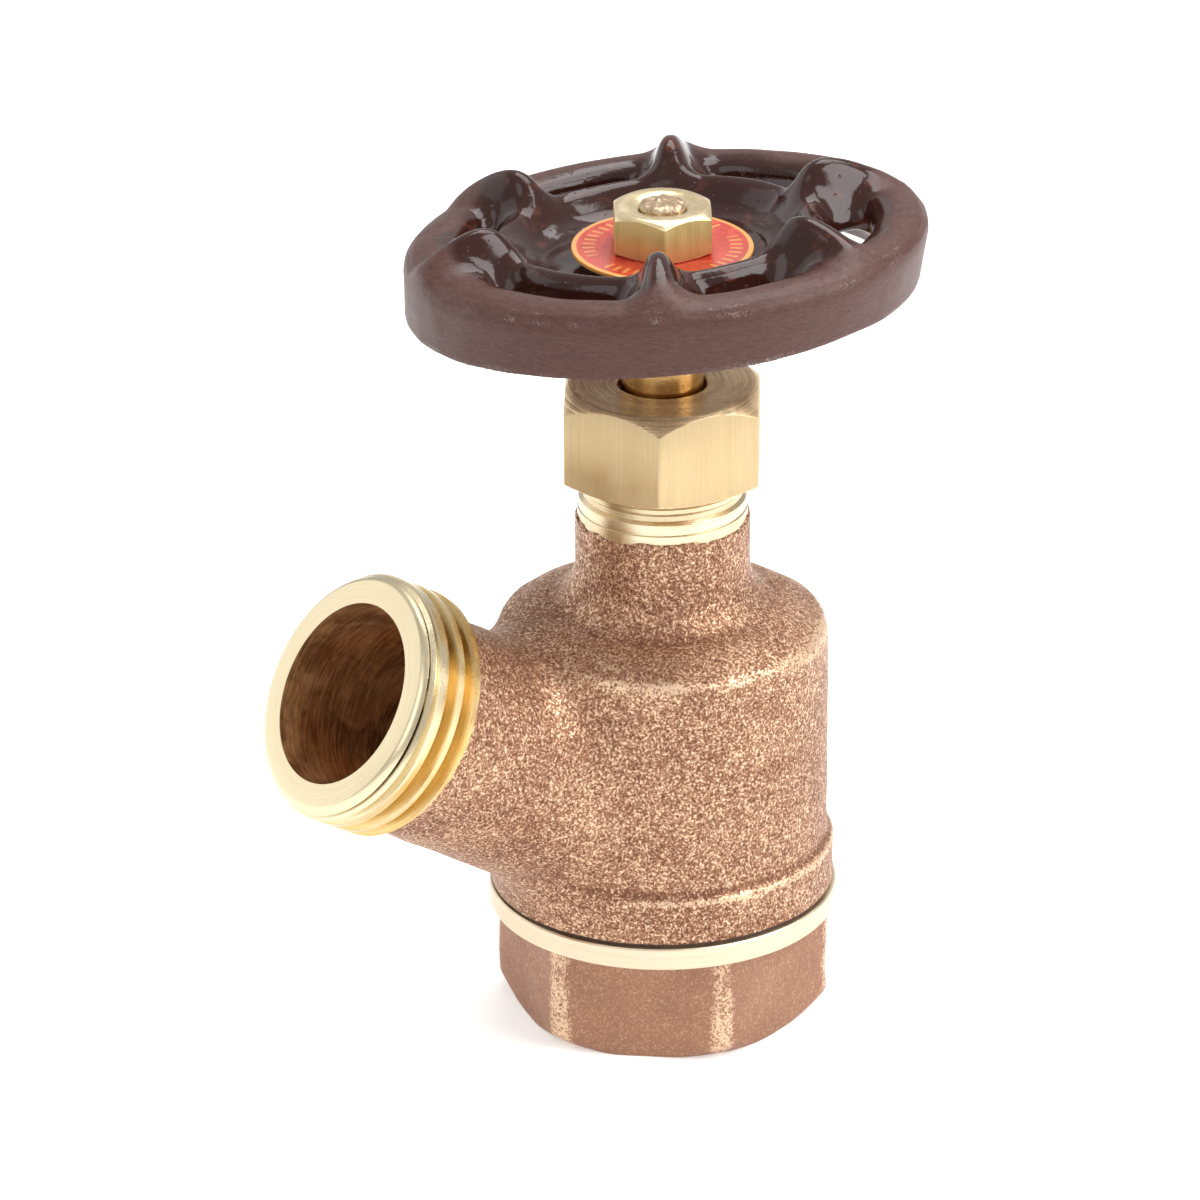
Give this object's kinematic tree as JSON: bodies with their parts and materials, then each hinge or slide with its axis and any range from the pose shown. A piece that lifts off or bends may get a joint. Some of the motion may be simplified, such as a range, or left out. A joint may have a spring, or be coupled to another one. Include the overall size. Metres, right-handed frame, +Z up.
{
  "type": "bent-nose garden valve",
  "caption": "Compression valve with a hexagonal female pipe inlet below, an upturned male hose outlet and a lobed handwheel on a rising stem.",
  "frame": {"origin": "centre of the inlet face, on the stem's axis", "axes": "+Z up the stem to the handwheel, the outlet leans up towards -Y"},
  "size_m": [0.0557, 0.0739, 0.0954],
  "materials": {
    "bronze_casting": "sand-cast and tumbled, fine grain, with turned bands",
    "machined_brass": "turned and milled, bright",
    "wheel_enamel": "dip-coated brown enamel, glossy above and satin at the side",
    "plate_paint": "printed red with a gold border",
    "gasket_fibre": "dark vulcanised fibre",
    "packing_yarn": "graphited yarn",
    "seat_rubber": "matt black rubber"
  },
  "bodies": {
    "housing": {"valve_body": "bronze_casting", "inlet_end": "bronze_casting", "body_gasket": "gasket_fibre", "packing_washer": "machined_brass", "packing_ring_1": "packing_yarn", "packing_ring_2": "packing_yarn", "packing_ring_3": "packing_yarn", "packing_gland": "machined_brass", "packing_nut": "machined_brass"},
    "disc_assembly": {"disc_holder": "machined_brass", "seat_disc": "seat_rubber", "seat_disc_nut": "machined_brass"},
    "stem_assembly": {"stem": "machined_brass", "handwheel": "wheel_enamel", "identification_plate": "plate_paint", "handwheel_nut": "machined_brass"}
  },
  "joints": [
    {"name": "stem_rise", "type": "slide", "parent": "housing", "child": "disc_assembly", "axis": [0, 0, 1], "range_m": [0, 0.0053]},
    {"name": "handwheel_turn", "type": "hinge", "parent": "disc_assembly", "child": "stem_assembly", "pos_m": [0, 0, 0.05], "axis": [0, 0, 1], "range_deg": [0, 900]}
  ],
  "couplings": [
    {"joint": "stem_rise", "follows": "handwheel_turn", "m_per_rad": 0.00033693}
  ]
}
